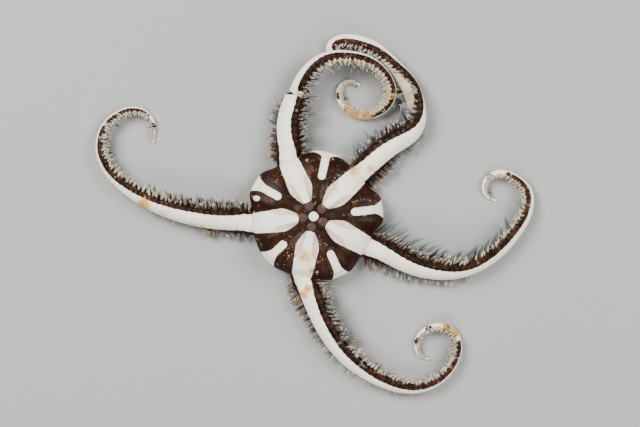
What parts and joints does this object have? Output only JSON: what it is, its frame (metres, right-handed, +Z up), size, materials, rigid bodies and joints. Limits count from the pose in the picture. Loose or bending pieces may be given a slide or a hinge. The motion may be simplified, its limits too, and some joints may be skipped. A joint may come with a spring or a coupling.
{
  "type": "brittle star",
  "caption": "Brittle star lying at rest: a round lobed disc with raised ivory rays, and tapering spiny arms that curl flat over the floor, one of them lying across another.",
  "frame": {"origin": "on the floor, under the middle of the whole animal's outline", "axes": "+Z up from the floor, +Y towards the two arms that cross, +X towards the arm that curls in a left turn at the far side"},
  "size_m": [0.055, 0.0451, 0.0045],
  "materials": {
    "disc_skin": "satin chocolate brown skin with ivory rays and bands",
    "arm_skin": "ivory back plates, brown sides, cream under side and glassy grey spines"
  },
  "bodies": {
    "root": {"disc": "disc_skin", "arm_left_1": "arm_skin", "arm_left_2": "arm_skin", "arm_left_3": "arm_skin", "arm_left_4": "arm_skin", "arm_left_5": "arm_skin", "arm_left_6": "arm_skin", "arm_left_7": "arm_skin", "arm_upper_left_1": "arm_skin", "arm_upper_left_2": "arm_skin", "arm_upper_left_3": "arm_skin", "arm_upper_left_4": "arm_skin", "arm_upper_left_5": "arm_skin", "arm_upper_left_6": "arm_skin", "arm_upper_left_7": "arm_skin", "arm_upper_left_8": "arm_skin", "arm_upper_left_9": "arm_skin", "arm_upper_right_1": "arm_skin", "arm_upper_right_2": "arm_skin", "arm_upper_right_3": "arm_skin", "arm_upper_right_4": "arm_skin", "arm_upper_right_5": "arm_skin", "arm_upper_right_6": "arm_skin", "arm_upper_right_7": "arm_skin", "arm_upper_right_8": "arm_skin", "arm_upper_right_9": "arm_skin", "arm_upper_right_10": "arm_skin", "arm_right_1": "arm_skin", "arm_right_2": "arm_skin", "arm_right_3": "arm_skin", "arm_right_4": "arm_skin", "arm_right_5": "arm_skin", "arm_right_6": "arm_skin", "arm_right_7": "arm_skin", "arm_lower_1": "arm_skin", "arm_lower_2": "arm_skin", "arm_lower_3": "arm_skin", "arm_lower_4": "arm_skin", "arm_lower_5": "arm_skin", "arm_lower_6": "arm_skin", "arm_lower_7": "arm_skin", "arm_lower_8": "arm_skin"}
  },
  "joints": []
}
